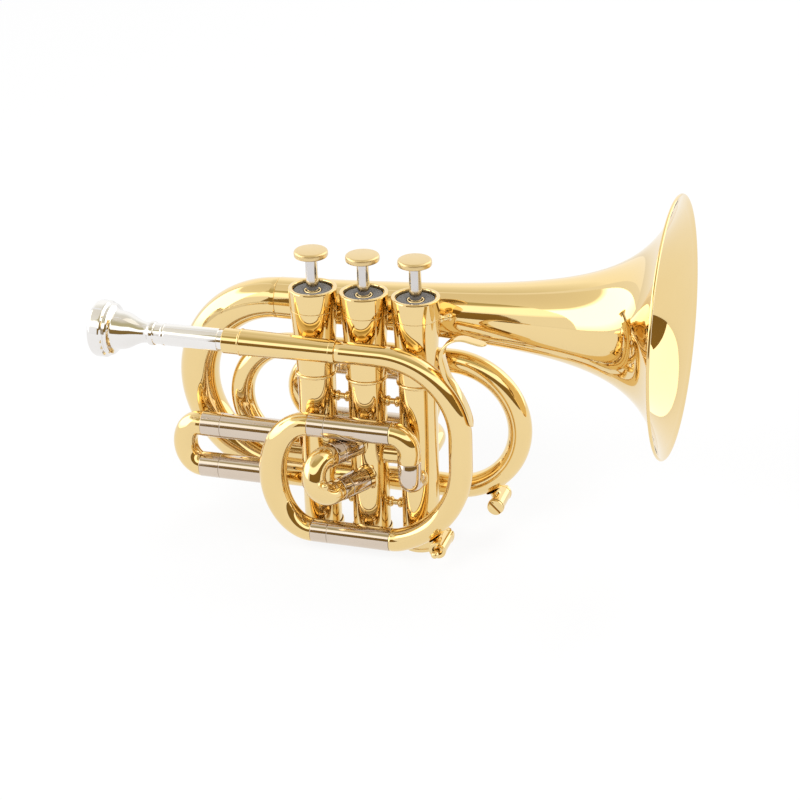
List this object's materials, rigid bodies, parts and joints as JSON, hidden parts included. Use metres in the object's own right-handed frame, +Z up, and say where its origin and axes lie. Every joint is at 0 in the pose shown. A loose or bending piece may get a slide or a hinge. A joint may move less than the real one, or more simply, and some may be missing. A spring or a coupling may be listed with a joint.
{
  "type": "pocket trumpet",
  "caption": "Compact brass trumpet with tightly wound tubing, sprung piston valves, pull slides, a flared bell, a finger hook, water keys and a removable mouthpiece.",
  "frame": {"origin": "centre of the middle valve's bottom cap, on its underside", "axes": "+X from the mouthpiece towards the bell along the leadpipe, +Y from the leadpipe side towards the bell side, +Z up along the valves towards the finger buttons"},
  "size_m": [0.2816, 0.131, 0.1836],
  "materials": {
    "lacquered_brass": "polished, clear gold lacquer",
    "nickel_silver": "polished",
    "silver_plate": "bright silver plate over brass",
    "spring_steel": "satin",
    "felt": "matte felt"
  },
  "bodies": {
    "instrument": {"bell": "lacquered_brass", "bottom_cap_1": "lacquered_brass", "bottom_cap_2": "lacquered_brass", "bottom_cap_3": "lacquered_brass", "cap_felt_1": "felt", "cap_felt_2": "felt", "cap_felt_3": "felt", "finger_hook": "lacquered_brass", "first_slide_outer_lower": "nickel_silver", "first_slide_outer_upper": "nickel_silver", "front_bow": "lacquered_brass", "inlet_elbow_lower": "nickel_silver", "inlet_elbow_upper": "lacquered_brass", "inner_bow": "lacquered_brass", "leadpipe": "lacquered_brass", "mouthpiece_receiver": "lacquered_brass", "rear_bow": "lacquered_brass", "second_slide_outer_lower": "nickel_silver", "second_slide_outer_upper": "nickel_silver", "third_slide_brace": "lacquered_brass", "third_slide_outer_lower": "nickel_silver", "third_slide_outer_upper": "nickel_silver", "third_slide_ring": "lacquered_brass", "top_cap_1": "lacquered_brass", "top_cap_2": "lacquered_brass", "top_cap_3": "lacquered_brass", "tuning_slide_outer_lower": "nickel_silver", "tuning_slide_outer_upper": "nickel_silver", "valve_casing_1": "lacquered_brass", "valve_casing_2": "lacquered_brass", "valve_casing_3": "lacquered_brass", "valve_spring_1": "spring_steel", "valve_spring_2": "spring_steel", "valve_spring_3": "spring_steel", "water_key_screw_1": "lacquered_brass", "water_key_screw_2": "lacquered_brass"},
    "mouthpiece": {"mouthpiece": "silver_plate"},
    "tuning_slide": {"tuning_slide_crook": "lacquered_brass", "tuning_slide_leg_upper": "nickel_silver", "tuning_slide_leg_lower": "nickel_silver"},
    "first_slide": {"first_slide_crook": "lacquered_brass", "first_slide_leg_upper": "nickel_silver", "first_slide_leg_lower": "nickel_silver"},
    "second_slide": {"second_slide_crook": "lacquered_brass", "second_slide_leg_upper": "nickel_silver", "second_slide_leg_lower": "nickel_silver"},
    "third_slide": {"third_slide_crook": "lacquered_brass", "third_slide_leg_upper": "nickel_silver", "third_slide_leg_lower": "nickel_silver"},
    "first_piston": {"piston_1": "nickel_silver", "valve_stem_1": "nickel_silver", "finger_button_1": "lacquered_brass"},
    "second_piston": {"piston_2": "nickel_silver", "valve_stem_2": "nickel_silver", "finger_button_2": "lacquered_brass"},
    "third_piston": {"piston_3": "nickel_silver", "valve_stem_3": "nickel_silver", "finger_button_3": "lacquered_brass"},
    "leadpipe_water_key": {"water_key_plunger_1": "lacquered_brass"},
    "bow_water_key": {"water_key_plunger_2": "lacquered_brass"}
  },
  "joints": [
    {"name": "first_valve_press", "type": "slide", "parent": "instrument", "child": "first_piston", "axis": [0, 0, -1], "range_m": [0, 0.017], "stiffness_N_per_m": 160, "springref_m": -0.02, "deforming": ["valve_spring_1"]},
    {"name": "second_valve_press", "type": "slide", "parent": "instrument", "child": "second_piston", "axis": [0, 0, -1], "range_m": [0, 0.017], "stiffness_N_per_m": 160, "springref_m": -0.02, "deforming": ["valve_spring_2"]},
    {"name": "third_valve_press", "type": "slide", "parent": "instrument", "child": "third_piston", "axis": [0, 0, -1], "range_m": [0, 0.017], "stiffness_N_per_m": 160, "springref_m": -0.02, "deforming": ["valve_spring_3"]},
    {"name": "tuning_slide_pull", "type": "slide", "parent": "instrument", "child": "tuning_slide", "axis": [-1, 0, 0], "range_m": [0, 0.02]},
    {"name": "first_slide_pull", "type": "slide", "parent": "instrument", "child": "first_slide", "axis": [-1, 0, 0], "range_m": [0, 0.018]},
    {"name": "second_slide_pull", "type": "slide", "parent": "instrument", "child": "second_slide", "axis": [-0.5, -0.866, 0], "range_m": [0, 0.004]},
    {"name": "third_slide_pull", "type": "slide", "parent": "instrument", "child": "third_slide", "axis": [-1, 0, 0], "range_m": [0, 0.016]},
    {"name": "mouthpiece_pull", "type": "slide", "parent": "instrument", "child": "mouthpiece", "axis": [-1, 0, 0], "range_m": [0, 0.03]},
    {"name": "leadpipe_water_key_press", "type": "slide", "parent": "instrument", "child": "leadpipe_water_key", "axis": [0, 1, 0], "range_m": [0, 0.0025], "stiffness_N_per_m": 500, "springref_m": -0.002},
    {"name": "bow_water_key_press", "type": "slide", "parent": "instrument", "child": "bow_water_key", "axis": [0, -1, 0], "range_m": [0, 0.0025], "stiffness_N_per_m": 500, "springref_m": -0.002}
  ]
}
